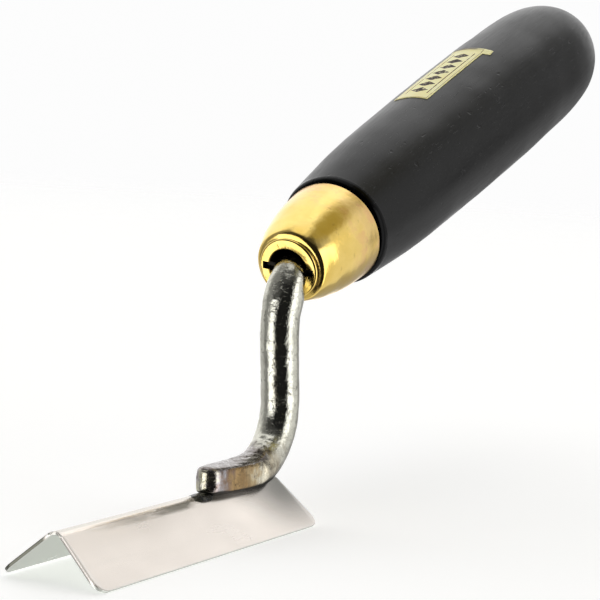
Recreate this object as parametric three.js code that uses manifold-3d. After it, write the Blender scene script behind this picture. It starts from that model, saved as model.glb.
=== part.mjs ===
// Outside corner trowel: a bent sheet blade on a cranked steel shank, with a brass ferrule
// and a turned wooden handle. Millimetres, +Z up, +X from the blade towards the handle.
// Every piece is symmetric about the plane Y = 0, apart from the blade, which is bent slightly
// off its middle, and the label, the ferrule's two notches and the shank's lugs in them, which
// are turned slightly about the handle's axis.

import * as THREE from 'three';
import { mergeVertices } from 'three/addons/utils/BufferGeometryUtils.js';
import Module from 'manifold-3d';

const wasm = await Module();
wasm.setup();

// ---- Driving dimensions ------------------------------------------------------------------

const GAP = 0.3; // clearance between a piece and the neighbour that it touches

// Blade: one sheet bent to a V that opens downwards. The part is laid out from the front end
// of the sharp line in which the wings' outer faces would meet.
const RIDGE_LENGTH = 80;
const WING_WIDTH = 14.8; // of the wider wing, on the -Y side
const NARROW_WING_WIDTH = 14;
const END_FLARE = 2.1; // how much further each end reaches at the wider wing's free edge
const WING_SLOPE = THREE.MathUtils.degToRad(41.5);
const SHEET = 0.6;
const RIDGE_RADIUS = 2.3; // outside of the bend
const WING_CORNER_RADIUS = 3;
const BEND_STEPS = 8;

// Handle axis, and the mouth of the ferrule on it
const AXIS_TILT = THREE.MathUtils.degToRad(20.4);
const MOUTH_X = 82.3;
const MOUTH_RISE = 42.8; // above the ridge line

// Shank: a round rod. It leaves the ferrule, bends down, and bends forward into a flattened foot.
const ROD_RADIUS = 4.15;
const TANG_RADIUS = 3.65; // the rod narrows to this through the upper bend
const TANG_LENGTH = 58; // behind the mouth
const TANG_TAPER = 16;
const TANG_TIP_RADIUS = 1.6;
const KNEE_LEAD = 1; // corner of the upper bend, ahead of the mouth
const KNEE_RADIUS = 6.5;
const WAIST_X = 79.9; // the slight kink halfway down
const WAIST_RISE = 31;
const WAIST_RADIUS = 26;
const HEEL_X = 84; // corner of the lower bend
const HEEL_RADIUS = 12.5;
const FOOT_RISE = 1.35; // centre of the foot above the ridge line
const TOE_X = 51.2;
const TOE_HALF_WIDTH = 2.85; // seen from above, the toe ends in a half circle of this radius
const TOE_HALF_HEIGHT = 2.85;
const TOE_EDGE_ROUNDING = 0.6; // between the toe's upright end and its top and bottom
const TOE_STEPS = 8;
const TOP_SQUARENESS = 5; // of the foot's section
const UNDERSIDE_SQUARENESS = 2.8;
const FOOT_WIDENS = [2, 30]; // distances from the toe between which the foot turns into the rod
const FOOT_THICKENS = [15, 30];
const FOOT_ROUNDS = [8, 27];
const LUG_START = 1.1; // lugs that key the tang into the ferrule's notches
const LUG_END = 5.5;
const LUG_REACH = 5.65;
const LUG_HALF_WIDTH = 0.55;

// Ferrule: a drawn brass cup with a rolled lip round its hole
const FERRULE_LENGTH = 20.8;
const FERRULE_REAR_RADIUS = 11.65;
const FERRULE_WALL = 0.8;
const HOLE_RADIUS = 4.5;
const HOLE_EDGE = 0.25; // rounding of the hole's front edge
const LIP_RADIUS = 6.75;
const LIP_ROUNDING = 0.8;
const NECK_RADIUS = 6.3;
const NECK_START = 1.75; // behind the mouth
const NECK_FILLET = 0.35;
const CUP_START = 2.6; // where the cup's shoulder turns back, behind the mouth
const CUP_SHAPE = [ // radius as a share of the rear radius, and share of the cup's length
  [0.72, 0], [0.81, 0.12], [0.885, 0.352], [0.955, 0.626], [1, 1],
];
const NOTCH_REACH = 5.95;
const NOTCH_HALF_WIDTH = 0.85;
const NOTCH_TWIST = THREE.MathUtils.degToRad(6);

// Handle: turned wood with a tenon inside the ferrule and a bore for the tang
const HANDLE_LENGTH = 146.9; // behind the ferrule
const SHOULDER_LENGTH = 2.1; // the chamfer from the ferrule's rim out to the grip
const SHOULDER_RADIUS = 12.55;
const SHOULDER_LAP = 0.6; // how far inside the ferrule's rim the shoulder's rounding starts
const GRIP_RADIUS = 15.85;
const GRIP_SHAPE = [ // radius as a share of the grip radius, and share of the grip's length
  [0.892, 0.142], [0.955, 0.355], [0.993, 0.591], [1, 0.827],
];
const BUTT_RADIUS = 15.2;
const BUTT_LENGTH = 22.3;
const TENON_FRONT = 6.5; // behind the mouth, as is the bore's depth
const BORE_DEPTH = 60;

// Label: a thin foil strip on top of the grip
const LABEL_START = 49; // behind the ferrule
const LABEL_LENGTH = 37;
const LABEL_WIDTH = 8.8;
const LABEL_THICKNESS = 0.15;
const LABEL_GAP = 0.1;
const LABEL_TURN = THREE.MathUtils.degToRad(5.5);

// Welds: one puddle in front of the toe and one behind the foot, under the heel
const TOE_WELD = { x: 49.8, rise: -1.3, halfLength: 3.3, halfWidth: 2.6, halfHeight: 1.6 };
const HEEL_WELD = { x: 78.6, rise: -0.6, halfLength: 1.5, halfWidth: 1.3, halfHeight: 1.3 };

const ROUND_SEGMENTS = 48;
const ROD_SEGMENTS = 24;
const STATION_SPACING = 1.8;
const BEYOND = 20; // how far a cutting tool reaches past what it cuts

// ---- Directions --------------------------------------------------------------------------

const X_AXIS = new THREE.Vector3(1, 0, 0);
const Y_AXIS = new THREE.Vector3(0, 1, 0);
const Z_AXIS = new THREE.Vector3(0, 0, 1);

// The handle's axis points from the ferrule's mouth to the butt
const axisDirection = new THREE.Vector3(Math.cos(AXIS_TILT), 0, Math.sin(AXIS_TILT));
const axisUp = new THREE.Vector3().crossVectors(axisDirection, Y_AXIS);
const mouth = new THREE.Vector3(MOUTH_X, 0, MOUTH_RISE);
const axisFrame = new THREE.Matrix4().makeBasis(Y_AXIS, axisUp, axisDirection).setPosition(mouth);

function onAxis(distance) {
  return mouth.clone().addScaledVector(axisDirection, distance);
}

// ---- Solid helpers -----------------------------------------------------------------------

function toSolid(geometry) {
  const bare = geometry.clone();
  bare.deleteAttribute('normal');
  bare.deleteAttribute('uv');
  const merged = mergeVertices(bare, 1e-4);
  const corners = merged.index.array;
  const triangles = [];
  for (let i = 0; i < corners.length; i += 3) {
    const [a, b, c] = corners.slice(i, i + 3);
    const isFlat = a === b || b === c || c === a; // at the poles of a turned body
    if (!isFlat) {
      triangles.push(a, b, c);
    }
  }
  return new wasm.Manifold(new wasm.Mesh({
    numProp: 3,
    vertProperties: new Float32Array(merged.attributes.position.array),
    triVerts: new Uint32Array(triangles),
  }));
}

function toGeometry(solid) {
  const mesh = solid.getMesh();
  const geometry = new THREE.BufferGeometry();
  geometry.setAttribute('position', new THREE.BufferAttribute(mesh.vertProperties, 3));
  geometry.setIndex(new THREE.BufferAttribute(mesh.triVerts, 1));
  geometry.computeVertexNormals();
  return geometry;
}

// A closed body through rings of points, with a fan over each end
function loft(rings) {
  const count = rings[0].length;
  const points = rings.flat();
  const indices = [];
  for (let i = 0; i + 1 < rings.length; i += 1) {
    for (let j = 0; j < count; j += 1) {
      const a = i * count + j;
      const b = i * count + ((j + 1) % count);
      indices.push(a, b, a + count, b, b + count, a + count);
    }
  }
  const addCap = (start, flipped) => {
    const centre = new THREE.Vector3();
    for (let j = 0; j < count; j += 1) {
      centre.add(points[start + j]);
    }
    points.push(centre.divideScalar(count));
    const hub = points.length - 1;
    for (let j = 0; j < count; j += 1) {
      const a = start + j;
      const b = start + ((j + 1) % count);
      indices.push(...(flipped ? [hub, b, a] : [hub, a, b]));
    }
  };
  addCap(0, true);
  addCap((rings.length - 1) * count, false);
  const geometry = new THREE.BufferGeometry().setFromPoints(points);
  geometry.setIndex(indices);
  return geometry;
}

// ---- Blade -------------------------------------------------------------------------------

const slopeCos = Math.cos(WING_SLOPE);
const slopeSin = Math.sin(WING_SLOPE);

// The wings' outer surface moved outwards by `offset`, from one free edge over the ridge to
// the other, in the plane across the blade
function wingLine(offset) {
  const radius = RIDGE_RADIUS + offset;
  const centreHeight = -RIDGE_RADIUS / slopeCos;
  const points = [];
  const edge = new THREE.Vector2(WING_WIDTH * slopeCos + offset * slopeSin,
    -WING_WIDTH * slopeSin + offset * slopeCos);
  points.push(edge);
  for (let i = 0; i <= BEND_STEPS; i += 1) {
    const angle = WING_SLOPE * (1 - (2 * i) / BEND_STEPS);
    const height = centreHeight + radius * Math.cos(angle);
    points.push(new THREE.Vector2(radius * Math.sin(angle), height));
  }
  points.push(new THREE.Vector2(-edge.x, edge.y));
  return points;
}

// A prism along X with the outline given across the blade
function prismAlongX(outline, start, length) {
  const geometry = new THREE.ExtrudeGeometry(new THREE.Shape(outline),
    { depth: length, bevelEnabled: false });
  geometry.translate(0, 0, start);
  return toSolid(geometry.applyMatrix4(new THREE.Matrix4().makeBasis(Y_AXIS, Z_AXIS, X_AXIS)));
}

// One wing's outline, seen square on: flared ends and rounded free corners
function wingOutline(width) {
  const flarePerMm = END_FLARE / WING_WIDTH;
  const overlap = 4; // past the ridge, so that the two wings' cutters meet
  const corner = WING_CORNER_RADIUS;
  const front = (down) => -flarePerMm * down;
  const rear = (down) => RIDGE_LENGTH + flarePerMm * down;
  const shape = new THREE.Shape();
  shape.moveTo(front(-overlap), -overlap);
  shape.lineTo(rear(-overlap), -overlap);
  shape.lineTo(rear(width - corner), width - corner);
  shape.quadraticCurveTo(rear(width), width, rear(width) - corner, width);
  shape.lineTo(front(width) + corner, width);
  shape.quadraticCurveTo(front(width), width, front(width - corner), width - corner);
  shape.closePath();
  return shape;
}

// A thick slab with one wing's outline. Side is 1 for the wing towards +Y and -1 for the other.
function wingCutter(side, width) {
  const down = new THREE.Vector3(0, side * slopeCos, -slopeSin);
  const across = new THREE.Vector3().crossVectors(X_AXIS, down);
  const depth = 8; // deep enough to hold the bend
  const geometry = new THREE.ExtrudeGeometry(wingOutline(width),
    { depth, bevelEnabled: false, curveSegments: 8 });
  geometry.translate(0, 0, -depth / 2);
  return toSolid(geometry.applyMatrix4(new THREE.Matrix4().makeBasis(X_AXIS, down, across)));
}

function makeBlade() {
  const section = [...wingLine(0), ...wingLine(-SHEET).reverse()];
  const sheet = prismAlongX(section, -END_FLARE - 1, RIDGE_LENGTH + 2 * END_FLARE + 2);
  const blank = wingCutter(1, NARROW_WING_WIDTH).add(wingCutter(-1, WING_WIDTH));
  return toGeometry(sheet.intersect(blank));
}

// Everything under the blade's outer faces raised by the gap, for cutting what sits on it
function bladeKeepOut() {
  const outline = wingLine(GAP);
  const first = outline[0];
  const bottom = first.y - BEYOND;
  outline.push(new THREE.Vector2(-first.x, bottom), new THREE.Vector2(first.x, bottom));
  return prismAlongX(outline, -BEYOND, RIDGE_LENGTH + 2 * BEYOND);
}

// ---- Shank -------------------------------------------------------------------------------

// The shank's centreline in the plane Y = 0, as { x, z } corners from the toe to the tang's tip.
// Each inner corner is rounded to its radius.
function shankCorners() {
  const knee = onAxis(-KNEE_LEAD);
  const tip = onAxis(TANG_LENGTH);
  return [
    { at: new THREE.Vector2(TOE_X, FOOT_RISE) },
    { at: new THREE.Vector2(HEEL_X, FOOT_RISE), radius: HEEL_RADIUS },
    { at: new THREE.Vector2(WAIST_X, WAIST_RISE), radius: WAIST_RADIUS },
    { at: new THREE.Vector2(knee.x, knee.z), radius: KNEE_RADIUS },
    { at: new THREE.Vector2(tip.x, tip.z) },
  ];
}

// A path of straight lines joined by arcs that touch both lines at each inner corner
function roundedPath(corners) {
  const path = new THREE.Path();
  path.moveTo(corners[0].at.x, corners[0].at.y);
  for (let i = 1; i + 1 < corners.length; i += 1) {
    const { at, radius } = corners[i];
    const back = corners[i - 1].at.clone().sub(at).normalize();
    const ahead = corners[i + 1].at.clone().sub(at).normalize();
    const half = Math.acos(back.dot(ahead)) / 2;
    const start = at.clone().addScaledVector(back, radius / Math.tan(half));
    const end = at.clone().addScaledVector(ahead, radius / Math.tan(half));
    const middle = back.clone().add(ahead).normalize();
    const centre = at.clone().addScaledVector(middle, radius / Math.sin(half));
    path.lineTo(start.x, start.y);
    path.absarc(centre.x, centre.y, radius, start.sub(centre).angle(), end.sub(centre).angle(),
      back.cross(ahead) > 0);
  }
  const last = corners[corners.length - 1].at;
  path.lineTo(last.x, last.y);
  return path;
}

// How far a quarter-round edge has pulled in, at a distance from where it starts
function roundedInset(distance, radius) {
  const left = Math.max(0, 1 - distance / radius);
  return radius * (1 - Math.sqrt(1 - left * left));
}

// Half-width, half-height and squareness of the shank's section, at a distance from the toe.
// Squareness 2 is a circle, and a higher value is nearer to a rectangle.
function shankSection(distance, total) {
  const blend = ([start, end]) => THREE.MathUtils.smoothstep(distance, start, end);
  const mouthAt = total - TANG_LENGTH;
  const toTang = THREE.MathUtils.smoothstep(distance, mouthAt - KNEE_RADIUS, mouthAt);
  const toTip = THREE.MathUtils.clamp(1 - (total - distance) / TANG_TAPER, 0, 1);
  const tang = THREE.MathUtils.lerp(TANG_RADIUS, TANG_TIP_RADIUS, toTip);
  const radius = THREE.MathUtils.lerp(ROD_RADIUS, tang, toTang);
  return {
    halfWidth: THREE.MathUtils.lerp(TOE_HALF_WIDTH, radius, blend(FOOT_WIDENS))
      - roundedInset(distance, TOE_HALF_WIDTH),
    halfHeight: THREE.MathUtils.lerp(TOE_HALF_HEIGHT, radius, blend(FOOT_THICKENS))
      - roundedInset(distance, TOE_EDGE_ROUNDING),
    topSquareness: THREE.MathUtils.lerp(TOP_SQUARENESS, 2, blend(FOOT_ROUNDS)),
    undersideSquareness: THREE.MathUtils.lerp(UNDERSIDE_SQUARENESS, 2, blend(FOOT_ROUNDS)),
  };
}

// A point of a section with half-sizes of 1, as [across, up]
function sectionPoint(angle, { topSquareness, undersideSquareness }) {
  const c = Math.cos(angle);
  const s = Math.sin(angle);
  const power = 2 / (s > 0 ? topSquareness : undersideSquareness);
  return [Math.sign(c) * Math.abs(c) ** power, Math.sign(s) * Math.abs(s) ** power];
}

// The shank's body, grown by a clearance on every side
function shankBody(clearance) {
  const path = roundedPath(shankCorners());
  const total = path.getLength();
  const distances = [];
  for (let i = 1; i < TOE_STEPS; i += 1) {
    distances.push(TOE_HALF_WIDTH * (1 - Math.cos((Math.PI / 2) * (i / TOE_STEPS))));
  }
  const steps = Math.round(total / STATION_SPACING);
  for (let i = 0; i <= steps; i += 1) {
    distances.push(THREE.MathUtils.lerp(TOE_HALF_WIDTH, total, i / steps));
  }
  const rings = distances.map((distance) => {
    const centre = path.getPoint(distance / total);
    const tangent = path.getTangent(distance / total);
    centre.addScaledVector(tangent, THREE.MathUtils.lerp(-clearance, clearance, distance / total));
    const section = shankSection(distance, total);
    const ring = [];
    for (let k = 0; k < ROD_SEGMENTS; k += 1) {
      const [across, up] = sectionPoint((2 * Math.PI * (k + 0.5)) / ROD_SEGMENTS, section);
      const side = across * (section.halfWidth + clearance);
      const lift = up * (section.halfHeight + clearance);
      ring.push(new THREE.Vector3(centre.x - tangent.y * lift, side, centre.y + tangent.x * lift));
    }
    return ring;
  });
  return toSolid(loft(rings));
}

// A flat bar across the handle's axis, turned to the notches' angle
function crossBar(start, end, reach, halfWidth) {
  const bar = new THREE.BoxGeometry(2 * reach, 2 * halfWidth, end - start);
  bar.translate(0, 0, (start + end) / 2);
  bar.rotateZ(NOTCH_TWIST);
  return toSolid(bar.applyMatrix4(axisFrame));
}

function makeShank() {
  const lugs = crossBar(LUG_START, LUG_END, LUG_REACH, LUG_HALF_WIDTH);
  return toGeometry(shankBody(0).subtract(bladeKeepOut()).add(lugs));
}

// ---- Welds -------------------------------------------------------------------------------

// A puddle of weld metal on the ridge against one end of the foot
function makeWeld({ x, rise, halfLength, halfWidth, halfHeight }) {
  const bead = new THREE.SphereGeometry(1, 20, 12);
  bead.scale(halfLength, halfWidth, halfHeight);
  bead.translate(x, 0, rise);
  return toGeometry(toSolid(bead).subtract(bladeKeepOut()).subtract(shankBody(GAP)));
}

// ---- Turned parts ------------------------------------------------------------------------

// Profile points are (radius, distance behind the ferrule's mouth)
function toPoints(pairs) {
  return pairs.map(([radius, along]) => new THREE.Vector2(radius, along));
}

function smoothCurve(pairs, count) {
  return new THREE.SplineCurve(toPoints(pairs)).getPoints(count);
}

function ellipseArc(centre, sizes, start, end, count) {
  return new THREE.EllipseCurve(...centre, ...sizes, start, end).getPoints(count);
}

function turned(profile) {
  const geometry = new THREE.LatheGeometry(profile, ROUND_SEGMENTS);
  geometry.rotateX(Math.PI / 2);
  return toSolid(geometry.applyMatrix4(axisFrame));
}

// ---- Ferrule -----------------------------------------------------------------------------

// The cup behind its neck, moved inwards by `inset`
function cupProfile(inset) {
  return smoothCurve(CUP_SHAPE.map(([radiusShare, lengthShare]) => {
    const start = CUP_START + inset;
    return [
      FERRULE_REAR_RADIUS * radiusShare - inset,
      THREE.MathUtils.lerp(start, FERRULE_LENGTH, lengthShare),
    ];
  }), 12);
}

function makeFerrule() {
  const lipCentre = [LIP_RADIUS - LIP_ROUNDING, LIP_ROUNDING];
  const lipSizes = [LIP_ROUNDING, LIP_ROUNDING];
  const profile = [
    ...toPoints([[HOLE_RADIUS, HOLE_EDGE], [HOLE_RADIUS + HOLE_EDGE, 0]]),
    ...ellipseArc(lipCentre, lipSizes, -Math.PI / 2, Math.PI / 3, 6),
    ...toPoints([[NECK_RADIUS, NECK_START], [NECK_RADIUS + NECK_FILLET, NECK_START + NECK_FILLET]]),
    ...cupProfile(0),
    ...cupProfile(FERRULE_WALL).reverse(),
    new THREE.Vector2(HOLE_RADIUS, CUP_START + FERRULE_WALL),
  ];
  profile.push(profile[0].clone());
  const notches = crossBar(-1, LUG_END + GAP, NOTCH_REACH, NOTCH_HALF_WIDTH);
  return toGeometry(turned(profile).subtract(notches).subtract(shankBody(GAP)));
}

// ---- Handle ------------------------------------------------------------------------------

// The grip's outside from its front shoulder to the start of the butt, moved out by `offset`
function gripProfile(offset) {
  const shoulder = FERRULE_LENGTH + SHOULDER_LENGTH;
  const body = HANDLE_LENGTH - SHOULDER_LENGTH - BUTT_LENGTH;
  return smoothCurve([
    [SHOULDER_RADIUS + offset, shoulder],
    ...GRIP_SHAPE.map(([radiusShare, lengthShare]) => [
      GRIP_RADIUS * radiusShare + offset,
      shoulder + body * lengthShare,
    ]),
    [BUTT_RADIUS + offset, shoulder + body],
  ], 24);
}

function handleOutside() {
  const face = FERRULE_LENGTH + GAP;
  const shoulder = FERRULE_LENGTH + SHOULDER_LENGTH;
  const buttStart = FERRULE_LENGTH + HANDLE_LENGTH - BUTT_LENGTH;
  const tenon = cupProfile(FERRULE_WALL + GAP).filter((point) => point.y > TENON_FRONT);
  const rounding = SHOULDER_RADIUS - FERRULE_REAR_RADIUS + SHOULDER_LAP;
  const shoulderCentre = [SHOULDER_RADIUS - rounding, shoulder];
  return [
    new THREE.Vector2(0, TENON_FRONT),
    new THREE.Vector2(tenon[0].x, TENON_FRONT),
    ...tenon,
    new THREE.Vector2(tenon[tenon.length - 1].x, face),
    ...ellipseArc(shoulderCentre, [rounding, shoulder - face], -Math.PI / 2, 0, 6),
    ...gripProfile(0).slice(1, -1),
    ...ellipseArc([0, buttStart], [BUTT_RADIUS, BUTT_LENGTH], 0, Math.PI / 2, 12).slice(0, -1),
    new THREE.Vector2(0, buttStart + BUTT_LENGTH),
  ];
}

function makeHandle() {
  const boreRadius = TANG_RADIUS + GAP;
  const bore = turned(toPoints([
    [0, TENON_FRONT - 2],
    [boreRadius, TENON_FRONT - 2],
    [boreRadius, BORE_DEPTH],
    [0, BORE_DEPTH + boreRadius],
  ]));
  return toGeometry(turned(handleOutside()).subtract(bore));
}

// ---- Label -------------------------------------------------------------------------------

function makeLabel() {
  const underside = gripProfile(LABEL_GAP);
  const profile = [...underside, ...gripProfile(LABEL_GAP + LABEL_THICKNESS).reverse()];
  const shell = turned([...profile, profile[0].clone()].reverse());
  const strip = new THREE.BoxGeometry(LABEL_WIDTH, GRIP_RADIUS, LABEL_LENGTH);
  strip.translate(0, GRIP_RADIUS, FERRULE_LENGTH + LABEL_START + LABEL_LENGTH / 2);
  strip.rotateZ(-LABEL_TURN);
  return toGeometry(shell.intersect(toSolid(strip.applyMatrix4(axisFrame))));
}

// ---- Assembly ----------------------------------------------------------------------------

function piece(name, geometry, color, roughness, metalness) {
  const material = new THREE.MeshStandardMaterial({ color, roughness, metalness });
  const mesh = new THREE.Mesh(geometry, material);
  mesh.name = name;
  return mesh;
}

const trowel = new THREE.Group();
trowel.add(
  piece('blade', makeBlade(), 0xd9d2ca, 0.35, 1),
  piece('shank', makeShank(), 0x8f8d86, 0.25, 1),
  piece('toe_weld', makeWeld(TOE_WELD), 0x4a4640, 0.5, 1),
  piece('heel_weld', makeWeld(HEEL_WELD), 0x4a4640, 0.5, 1),
  piece('ferrule', makeFerrule(), 0xd9b45c, 0.22, 1),
  piece('handle', makeHandle(), 0x2b2b2c, 0.45, 0),
  piece('handle_label', makeLabel(), 0xe9d68a, 0.4, 0.6),
);

// The part's origin is the middle of the underside of its bounding box
const box = new THREE.Box3().setFromObject(trowel);
trowel.position.set(-(box.min.x + box.max.x) / 2, 0, -box.min.z);

export default trowel;
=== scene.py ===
"""Outside corner trowel: fine meshes, materials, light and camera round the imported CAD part.

Shapes are laid out in millimetres in the tool's own frame: the origin is the front end of the
line in which the wings' outer faces would meet, +X runs along the ridge towards the handle and
+Z is up. place() turns that frame into the row's frame in metres.
"""

import math

import bmesh
import bpy
import numpy as np
from mathutils import Matrix, Vector, noise


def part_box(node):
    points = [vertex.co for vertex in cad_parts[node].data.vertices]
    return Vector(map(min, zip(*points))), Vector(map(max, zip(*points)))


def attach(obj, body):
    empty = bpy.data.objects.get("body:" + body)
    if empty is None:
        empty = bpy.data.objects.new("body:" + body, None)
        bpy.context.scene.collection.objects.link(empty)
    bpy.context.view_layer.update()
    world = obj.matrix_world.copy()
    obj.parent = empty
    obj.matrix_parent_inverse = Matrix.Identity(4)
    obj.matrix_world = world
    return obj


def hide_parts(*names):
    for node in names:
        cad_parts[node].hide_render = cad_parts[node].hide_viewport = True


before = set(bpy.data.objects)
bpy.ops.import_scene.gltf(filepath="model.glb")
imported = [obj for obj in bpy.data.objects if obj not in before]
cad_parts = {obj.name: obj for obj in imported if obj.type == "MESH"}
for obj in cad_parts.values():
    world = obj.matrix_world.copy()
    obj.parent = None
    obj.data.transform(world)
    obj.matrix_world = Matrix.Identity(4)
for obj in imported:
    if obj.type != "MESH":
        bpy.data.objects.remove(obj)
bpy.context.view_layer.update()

MM = 0.001
BODY = "root"

# ---- Driving dimensions, in millimetres ---------------------------------------------------

WING_SLOPE = math.radians(41.5)
SHEET = 0.6
SHEET_BEVEL = 0.12
RIDGE_RADIUS = 2.3
END_FLARE = 2.1
NARROW_WING_WIDTH = 14.0  # of the wing towards +Y
RIDGE_LENGTH = 80.0
CORNER_RADIUS = 3.0

AXIS_TILT = math.radians(20.4)
MOUTH = (82.3, 42.8)  # x and z of the middle of the ferrule's mouth

ROD_RADIUS = 4.15
TANG_RADIUS = 3.65
TANG_LENGTH = 58.0
TANG_TAPER = 16.0
TANG_TIP_RADIUS = 1.6
KNEE_LEAD = 1.0
KNEE_RADIUS = 6.5
WAIST = (79.9, 31.0)
WAIST_RADIUS = 26.0
HEEL_X = 84.0
HEEL_RADIUS = 12.5
FOOT_RISE = 1.35
TOE_X = 51.2
TOE_HALF_WIDTH = 2.85  # seen from above, the toe ends in a half circle of this radius
TOE_TOP = 3.0  # height of the toe above the foot's centreline
TOE_BOTTOM = 2.6
TOE_EDGE = 1.5  # rounding between the toe's upright end and its top and bottom
PRESS_END = 18.5  # distance from the toe to the end of the pressed sides
PRESS_FADE = 3.5  # length over which the pressed sides then run out
PRESSED_HALF_WIDTH = 3.55  # at PRESS_END
UNPRESSED = 6.0  # wider than the rod, so that nothing is pressed flat
LEAST_HALF_WIDTH = 0.06
FOOT_LENGTH = 32.0
FLAT_SHARPNESS = 18.0  # how crisp the edges of the pressed sides are
TOE_SHARPNESS = 5.0  # the same at the toe
TANGENT_REACH = 0.25  # half the length of path that gives its direction at a point
KNEE_FULLNESS = 0.6
KNEE_DROP = 0.8
LUG_START = 1.1
LUG_END = 5.5
LUG_REACH = 5.65
LUG_HALF_WIDTH = 0.55
LUG_BEVEL = 0.15

TOE_WELD = ((49.4, -0.4, -1.55), (4.4, 2.0, 1.0))  # centre and half sizes
HEEL_WELD = ((78.6, 0.0, -0.6), (1.5, 1.3, 1.3))

FERRULE_LENGTH = 20.8
FERRULE_REAR_RADIUS = 11.65
FERRULE_WALL = 0.8
HOLE_RADIUS = 4.5
HOLE_ROUNDING = 0.3
LIP_RADIUS = 6.75
LIP_ROUNDING = 0.5
NECK_RADIUS = 6.3
CUP_START = 5.1  # distance behind the mouth
INSIDE_START = 3.1
SHANK_CLEARANCE = 0.25  # between the rod and the ferrule where they would touch
NOTCH_REACH = 5.95
NOTCH_HALF_WIDTH = 0.85
NOTCH_TWIST = math.radians(6)

HANDLE_LENGTH = 146.9
SHOULDER_LENGTH = 2.1
SHOULDER_RADIUS = 12.55
GRIP_RADIUS = 15.85
BUTT_RADIUS = 15.2
BUTT_LENGTH = 22.3
TENON_FRONT = 6.5
BORE_DEPTH = 60.0

LABEL_START = 49.0
LABEL_LENGTH = 37.0
LABEL_WIDTH = 8.8
LABEL_TURN = math.radians(5.5)
LABEL_GAP = 0.09  # above the grip
LABEL_LIFT = 0.35  # more of it at the lifted end
TAB_LENGTH = 2.3
TAB_REACH = 1.9
FOIL = 0.06
LOZENGES = 7

# ---- From the tool's frame to the row's frame ---------------------------------------------

blade_low, blade_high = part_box("blade")
slope_cos, slope_sin = math.cos(WING_SLOPE), math.sin(WING_SLOPE)
RIDGE_DROP = RIDGE_RADIUS * (1 / slope_cos - 1)
WING_WIDTH = -blade_low.y / MM / slope_cos
ROW_ORIGIN = np.array([
    (blade_low.x + blade_high.x) / 2 / MM - RIDGE_LENGTH / 2,
    0.0,
    blade_high.z / MM + RIDGE_DROP,
])

axis_dir = np.array([math.cos(AXIS_TILT), 0.0, math.sin(AXIS_TILT)])
axis_up = np.array([-math.sin(AXIS_TILT), 0.0, math.cos(AXIS_TILT)])
axis_side = np.array([0.0, 1.0, 0.0])
mouth = np.array([MOUTH[0], 0.0, MOUTH[1]])


def place(points):
    """Points of the tool's frame in millimetres, as row-frame metres."""
    return (np.asarray(points, float) + ROW_ORIGIN) * MM


def on_axis(along, radius=0.0, turn=0.0):
    """A point at a distance behind the mouth, a radius and an angle from the top towards +Y."""
    out = math.cos(turn) * axis_up + math.sin(turn) * axis_side
    return mouth + along * axis_dir + radius * out


# ---- Mesh helpers -------------------------------------------------------------------------

def smoothstep(value, low, high):
    t = np.clip((value - low) / (high - low), 0.0, 1.0)
    return t * t * (3 - 2 * t)


def mix(a, b, t):
    return a + (b - a) * t


def make_piece(name, points, faces, crease_deg=40.0):
    """A smooth-shaded object from tool-frame points. Edges sharper than the crease stay sharp."""
    mesh = bpy.data.meshes.new(name)
    mesh.from_pydata([tuple(p) for p in place(points)], [], faces)
    mesh.validate()
    piece = bpy.data.objects.new(name, mesh)
    bpy.context.scene.collection.objects.link(piece)
    finish_mesh(mesh, crease_deg)
    return piece


def finish_mesh(mesh, crease_deg):
    work = bmesh.new()
    work.from_mesh(mesh)
    bmesh.ops.remove_doubles(work, verts=work.verts, dist=1e-7)
    bmesh.ops.recalc_face_normals(work, faces=work.faces)
    work.to_mesh(mesh)
    work.free()
    mesh.shade_smooth()
    mesh.set_sharp_from_angle(angle=math.radians(crease_deg))


def paint(piece, name, values):
    """Keeps one number for each of the piece's points, for its material to read."""
    layer = piece.data.attributes.new(name, "FLOAT", "POINT")
    layer.data.foreach_set("value", np.asarray(values, np.float32))


def apply_modifiers(piece):
    """Turns the piece's modifiers into plain mesh."""
    bpy.context.view_layer.update()
    evaluated = piece.evaluated_get(bpy.context.evaluated_depsgraph_get())
    mesh = bpy.data.meshes.new_from_object(evaluated)
    piece.modifiers.clear()
    piece.data = mesh
    return piece


def ring_faces(rings, count, closed_ends=True):
    """Quads between successive rings of points, and a face over each end."""
    faces = []
    for i in range(rings - 1):
        for j in range(count):
            a = i * count + j
            b = i * count + (j + 1) % count
            faces.append((a, b, b + count, a + count))
    if closed_ends:
        faces.append(tuple(reversed(range(count))))
        faces.append(tuple(range((rings - 1) * count, rings * count)))
    return faces


def turned(name, profile, segments, wobble=0.0, crease_deg=40.0):
    """A body turned about the handle's axis from (radius, distance) points. A radius of zero
    closes an end, and a profile that ends where it starts makes a ring."""
    is_ring = profile[0] == profile[-1]
    body = profile[:-1] if is_ring else [p for p in profile if p[0] > 0]
    points = []
    for radius, along in body:
        for k in range(segments):
            turn = 2 * math.pi * k / segments
            point = on_axis(along, radius, turn)
            if wobble:
                push = wobble * noise.noise(Vector(point * 0.13))
                point = on_axis(along, radius + push, turn)
            points.append(point)
    faces = ring_faces(len(body), segments, closed_ends=False)
    if is_ring:
        last = (len(body) - 1) * segments
        for j in range(segments):
            faces.append((last + j, last + (j + 1) % segments, (j + 1) % segments, j))
    else:
        start, end = len(points), len(points) + 1
        points += [on_axis(profile[0][1]), on_axis(profile[-1][1])]
        last = (len(body) - 1) * segments
        for j in range(segments):
            faces.append((start, (j + 1) % segments, j))
            faces.append((end, last + j, last + (j + 1) % segments))
    return make_piece(name, points, faces, crease_deg)


def hermite(t, start, end, start_slope, end_slope):
    """A cubic that leaves start and reaches end with these slopes while t runs from 0 to 1."""
    return (
        (2 * t**3 - 3 * t**2 + 1) * start + (t**3 - 2 * t**2 + t) * start_slope
        + (-2 * t**3 + 3 * t**2) * end + (t**3 - t**2) * end_slope
    )


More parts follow.
